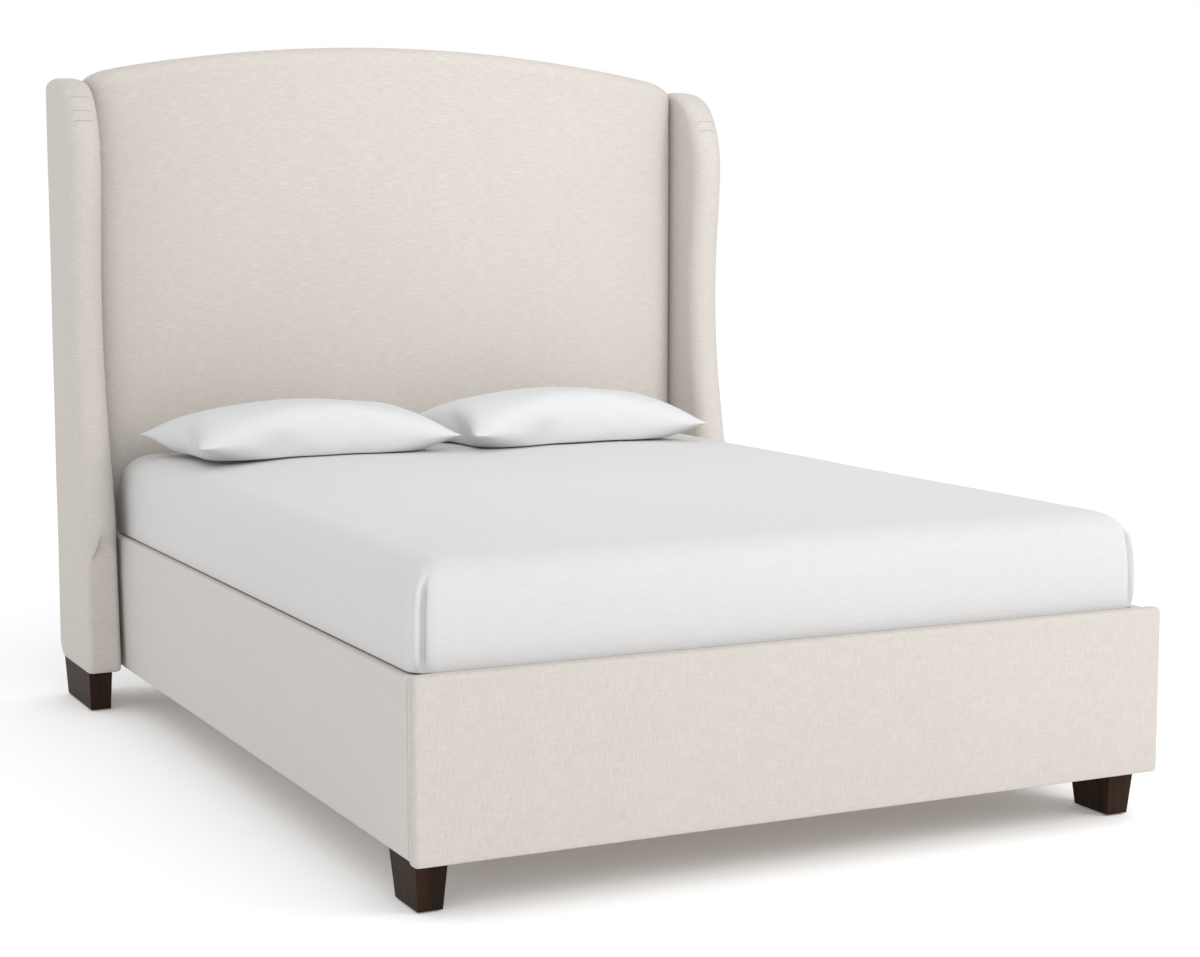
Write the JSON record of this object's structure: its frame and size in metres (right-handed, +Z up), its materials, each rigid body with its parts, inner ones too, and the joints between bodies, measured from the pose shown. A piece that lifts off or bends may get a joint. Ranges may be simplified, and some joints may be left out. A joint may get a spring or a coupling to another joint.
{
  "type": "upholstered wing-back bed",
  "caption": "Upholstered bed with an arched padded headboard between curved wings, low padded rails and foot panel, dark block legs, mattress in a white sheet and pillows.",
  "frame": {"origin": "on the floor under the middle of the whole bed's outline", "axes": "+Z up, +Y from the foot towards the head of the bed, +X to the right when looking from the foot to the head"},
  "size_m": [1.826, 2.266, 1.674],
  "materials": {
    "upholstery_fabric": "linen-look polyester weave, warm off-white, matt",
    "foam": "cream polyurethane foam, matt",
    "plywood": "birch plywood, raw",
    "pine": "planed pine, raw",
    "zinc_steel": "zinc plated",
    "black_steel": "black powder coat",
    "dark_wood": "dark brown stain, satin lacquer",
    "glide_plastic": "moulded nylon",
    "dust_cloth": "thin black non-woven",
    "webbing": "woven polyester strap",
    "mattress_ticking": "quilted knit ticking",
    "cotton_sheet": "plain cotton, cool white",
    "pillow_fibre": "polyester fibre filling",
    "cotton_case": "plain cotton, white"
  },
  "bodies": {
    "bed_frame": {"rail_bolts": "black_steel", "bracket_screws": "zinc_steel", "ledger_screws": "zinc_steel", "wing_bolts": "black_steel", "wing_bolt_nuts": "zinc_steel", "leg_hanger_bolts": "zinc_steel", "footboard_board": "plywood", "footboard_foam": "foam", "footboard_cover": "upholstery_fabric", "left_rail_board": "plywood", "left_rail_foam": "foam", "left_rail_cover": "upholstery_fabric", "right_rail_board": "plywood", "right_rail_foam": "foam", "right_rail_cover": "upholstery_fabric", "left_slat_ledger": "pine", "right_slat_ledger": "pine", "rail_brackets": "black_steel", "corner_blocks": "pine", "front_left_leg": "dark_wood", "headboard_left_leg": "dark_wood", "front_right_leg": "dark_wood", "headboard_right_leg": "dark_wood", "leg_glides": "glide_plastic", "headboard_foam": "foam", "headboard_cover": "upholstery_fabric", "headboard_front_board": "plywood", "headboard_left_stile": "pine", "headboard_right_stile": "pine", "headboard_bottom_rail": "pine", "headboard_middle_rail": "pine", "headboard_top_rail": "pine", "headboard_centre_struts": "pine", "headboard_dust_cover": "dust_cloth", "left_wing_foam": "foam", "left_wing_cover": "upholstery_fabric", "left_wing_inner_board": "plywood", "left_wing_outer_board": "plywood", "left_wing_blocking": "pine", "right_wing_foam": "foam", "right_wing_cover": "upholstery_fabric", "right_wing_inner_board": "plywood", "right_wing_outer_board": "plywood", "right_wing_blocking": "pine", "slats": "pine", "slat_straps": "webbing", "support_leg_bolts": "zinc_steel", "centre_beam": "pine", "beam_hangers": "black_steel", "support_legs": "pine", "leveller_inserts": "zinc_steel"},
    "mattress": {"mattress": "mattress_ticking", "fitted_sheet": "cotton_sheet"},
    "left_pillow": {"left_pillow_filling": "pillow_fibre", "left_pillowcase": "cotton_case"},
    "right_pillow": {"right_pillow_filling": "pillow_fibre", "right_pillowcase": "cotton_case"},
    "foot_leveller": {"foot_leveller_foot": "glide_plastic"},
    "middle_leveller": {"middle_leveller_foot": "glide_plastic"},
    "head_leveller": {"head_leveller_foot": "glide_plastic"}
  },
  "joints": [
    {"name": "mattress_lift", "type": "slide", "parent": "bed_frame", "child": "mattress", "axis": [0, 0, 1], "range_m": [0, 1.35]},
    {"name": "left_pillow_lift", "type": "slide", "parent": "mattress", "child": "left_pillow", "axis": [0, 0, 1], "range_m": [0, 1.1]},
    {"name": "right_pillow_lift", "type": "slide", "parent": "mattress", "child": "right_pillow", "axis": [0, 0, 1], "range_m": [0, 1.1]},
    {"name": "foot_leveller_screw", "type": "slide", "parent": "bed_frame", "child": "foot_leveller", "axis": [0, 0, 1], "range_m": [0, 0.012]},
    {"name": "middle_leveller_screw", "type": "slide", "parent": "bed_frame", "child": "middle_leveller", "axis": [0, 0, 1], "range_m": [0, 0.012]},
    {"name": "head_leveller_screw", "type": "slide", "parent": "bed_frame", "child": "head_leveller", "axis": [0, 0, 1], "range_m": [0, 0.012]}
  ]
}
